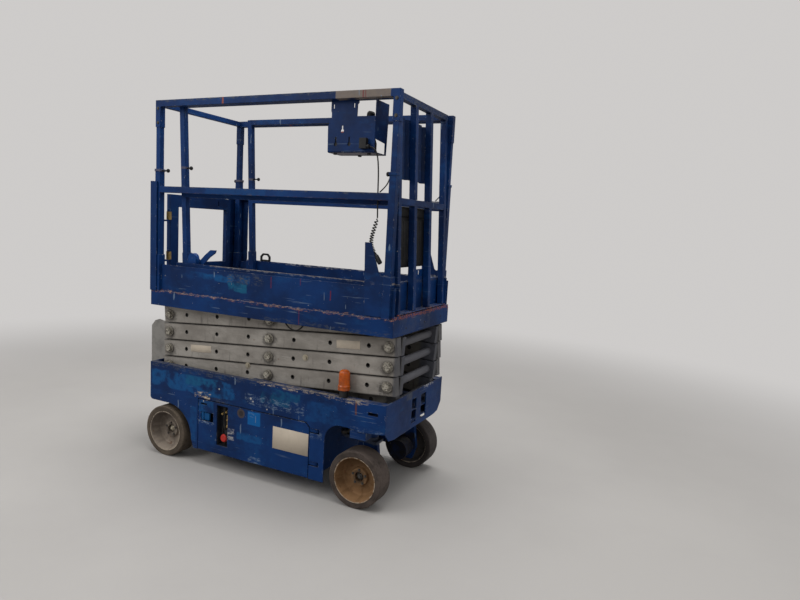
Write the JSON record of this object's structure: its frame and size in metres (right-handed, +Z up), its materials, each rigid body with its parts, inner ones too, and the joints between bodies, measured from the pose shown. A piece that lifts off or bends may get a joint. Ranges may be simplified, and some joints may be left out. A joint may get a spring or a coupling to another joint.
{
  "type": "electric slab scissor lift",
  "caption": "Compact self-propelled scissor lift: stowed crossed-arm stack on a low chassis carries a railed platform with a roll-out deck and rear gate.",
  "frame": {"origin": "on the floor under the middle of the machine's bounding box", "axes": "+X towards the steered end, +Y towards the side away from the ground controls, +Z up"},
  "size_m": [1.83, 0.76, 2.1],
  "materials": {
    "blue_paint": "satin, chipped",
    "arm_paint": "matt grey, worn",
    "ladder_paint": "matt grey",
    "steel": "oily",
    "tyre": "grey non-marking, scuffed",
    "rim_paint": "dusty",
    "black_plastic": "matt",
    "amber": "translucent amber",
    "red_plastic": "gloss",
    "battery_case": "matt",
    "cylinder_steel": "chromed",
    "cable": "matt black"
  },
  "bodies": {
    "chassis": {"chassis_frame": "blue_paint", "entry_ladder": "ladder_paint", "rear_axle": "steel", "beacon_base": "black_plastic", "beacon_lens": "amber"},
    "near_tray": {"near_tray": "blue_paint", "hydraulic_unit": "steel", "ground_controls": "black_plastic", "ground_stop_button": "red_plastic"},
    "far_tray": {"far_tray": "blue_paint", "battery_pack": "battery_case"},
    "near_yoke": {"near_yoke": "blue_paint"},
    "far_yoke": {"far_yoke": "blue_paint"},
    "tie_rod": {"tie_rod": "steel"},
    "near_rear_wheel": {"near_rear_tyre": "tyre", "near_rear_rim": "rim_paint"},
    "far_rear_wheel": {"far_rear_tyre": "tyre", "far_rear_rim": "rim_paint"},
    "near_front_wheel": {"near_front_tyre": "tyre", "near_front_rim": "rim_paint"},
    "far_front_wheel": {"far_front_tyre": "tyre", "far_front_rim": "rim_paint"},
    "outer_1": {"outer_arms_1": "arm_paint"},
    "inner_1": {"inner_arms_1": "arm_paint"},
    "outer_2": {"outer_arms_2": "arm_paint"},
    "inner_2": {"inner_arms_2": "arm_paint"},
    "outer_3": {"outer_arms_3": "arm_paint"},
    "inner_3": {"inner_arms_3": "arm_paint"},
    "outer_4": {"outer_arms_4": "arm_paint"},
    "inner_4": {"inner_arms_4": "arm_paint"},
    "lift_barrel": {"lift_barrel": "arm_paint"},
    "lift_rod": {"lift_rod": "cylinder_steel"},
    "platform": {"platform_deck": "blue_paint", "near_guardrail": "blue_paint", "far_guardrail": "blue_paint", "gate_posts": "blue_paint", "control_bracket": "blue_paint", "control_box": "black_plastic", "joystick": "black_plastic", "cable_connector": "black_plastic", "control_cable": "cable", "cable_coil": "cable", "cable_plug": "black_plastic", "near_lanyard": "cable", "far_lanyard": "cable", "stack_cable": "cable"},
    "gate": {"entry_gate": "blue_paint"},
    "extension": {"extension_deck": "blue_paint", "extension_rails": "blue_paint", "front_panel": "blue_paint", "storage_box": "black_plastic", "deck_lock_lever": "blue_paint", "grab_loop": "black_plastic"}
  },
  "joints": [
    {"name": "scissor_lift", "type": "hinge", "parent": "chassis", "child": "outer_1", "pos_m": [-0.62, 0, 0.544], "axis": [0, -1, 0], "range_deg": [0, 57]},
    {"name": "centre_pivot_1", "type": "hinge", "parent": "outer_1", "child": "inner_1", "pos_m": [0.12322, 0, 0.5955], "axis": [0, -1, 0], "range_deg": [-114, 0]},
    {"name": "rear_pivot_1", "type": "hinge", "parent": "inner_1", "child": "outer_2", "pos_m": [-0.62, 0, 0.647], "axis": [0, -1, 0], "range_deg": [0, 114]},
    {"name": "centre_pivot_2", "type": "hinge", "parent": "outer_2", "child": "inner_2", "pos_m": [0.12322, 0, 0.6985], "axis": [0, -1, 0], "range_deg": [-114, 0]},
    {"name": "rear_pivot_2", "type": "hinge", "parent": "inner_2", "child": "outer_3", "pos_m": [-0.62, 0, 0.75], "axis": [0, -1, 0], "range_deg": [0, 114]},
    {"name": "centre_pivot_3", "type": "hinge", "parent": "outer_3", "child": "inner_3", "pos_m": [0.12322, 0, 0.8015], "axis": [0, -1, 0], "range_deg": [-114, 0]},
    {"name": "rear_pivot_3", "type": "hinge", "parent": "inner_3", "child": "outer_4", "pos_m": [-0.62, 0, 0.853], "axis": [0, -1, 0], "range_deg": [0, 114]},
    {"name": "centre_pivot_4", "type": "hinge", "parent": "outer_4", "child": "inner_4", "pos_m": [0.12322, 0, 0.9045], "axis": [0, -1, 0], "range_deg": [-114, 0]},
    {"name": "platform_pivot", "type": "hinge", "parent": "inner_4", "child": "platform", "pos_m": [-0.62, 0, 0.956], "axis": [0, -1, 0], "range_deg": [0, 57]},
    {"name": "lift_barrel_pivot", "type": "hinge", "parent": "inner_1", "child": "lift_barrel", "pos_m": [-0.17952, 0, 0.56636], "axis": [0, -1, 0], "range_deg": [0, 107.48]},
    {"name": "lift_rod_slide", "type": "slide", "parent": "lift_barrel", "child": "lift_rod", "axis": [0.9663, 0, 0.2574], "range_m": [0, 0.2837]},
    {"name": "near_steer", "type": "hinge", "parent": "chassis", "child": "near_yoke", "pos_m": [0.746, -0.215, 0.4], "axis": [0, 0, 1], "range_deg": [-65, 65]},
    {"name": "far_steer", "type": "hinge", "parent": "chassis", "child": "far_yoke", "pos_m": [0.746, 0.215, 0.4], "axis": [0, 0, 1], "range_deg": [-65, 65]},
    {"name": "tie_rod_pivot", "type": "hinge", "parent": "near_yoke", "child": "tie_rod", "pos_m": [0.585, -0.215, 0.336], "axis": [0, 0, 1], "range_deg": [-65, 65]},
    {"name": "near_rear_roll", "type": "hinge", "parent": "chassis", "child": "near_rear_wheel", "pos_m": [-0.574, -0.323, 0.1524], "axis": [0, 1, 0], "continuous": true},
    {"name": "far_rear_roll", "type": "hinge", "parent": "chassis", "child": "far_rear_wheel", "pos_m": [-0.574, 0.323, 0.1524], "axis": [0, 1, 0], "continuous": true},
    {"name": "near_front_roll", "type": "hinge", "parent": "near_yoke", "child": "near_front_wheel", "pos_m": [0.746, -0.323, 0.1524], "axis": [0, 1, 0], "continuous": true},
    {"name": "far_front_roll", "type": "hinge", "parent": "far_yoke", "child": "far_front_wheel", "pos_m": [0.746, 0.323, 0.1524], "axis": [0, 1, 0], "continuous": true},
    {"name": "near_tray_swing", "type": "hinge", "parent": "chassis", "child": "near_tray", "pos_m": [0.496, -0.35, 0.25], "axis": [0, 0, 1], "range_deg": [0, 90]},
    {"name": "far_tray_swing", "type": "hinge", "parent": "chassis", "child": "far_tray", "pos_m": [0.496, 0.35, 0.25], "axis": [0, 0, -1], "range_deg": [0, 90]},
    {"name": "gate_swing", "type": "hinge", "parent": "platform", "child": "gate", "pos_m": [-0.679, -0.262, 1.3], "axis": [0, 0, -1], "range_deg": [0, 90]},
    {"name": "deck_extension", "type": "slide", "parent": "platform", "child": "extension", "axis": [1, 0, 0], "range_m": [0, 0.91]}
  ],
  "couplings": [
    {"joint": "centre_pivot_1", "follows": "scissor_lift", "ratio": -2},
    {"joint": "rear_pivot_1", "follows": "scissor_lift", "ratio": 2},
    {"joint": "centre_pivot_2", "follows": "scissor_lift", "ratio": -2},
    {"joint": "rear_pivot_2", "follows": "scissor_lift", "ratio": 2},
    {"joint": "centre_pivot_3", "follows": "scissor_lift", "ratio": -2},
    {"joint": "rear_pivot_3", "follows": "scissor_lift", "ratio": 2},
    {"joint": "centre_pivot_4", "follows": "scissor_lift", "ratio": -2},
    {"joint": "platform_pivot", "follows": "scissor_lift", "ratio": 1},
    {"joint": "lift_barrel_pivot", "follows": "scissor_lift", "ratio": 1.8855},
    {"joint": "lift_rod_slide", "follows": "scissor_lift", "m_per_rad": 0.28414},
    {"joint": "far_steer", "follows": "near_steer", "ratio": 1},
    {"joint": "tie_rod_pivot", "follows": "near_steer", "ratio": -1}
  ]
}
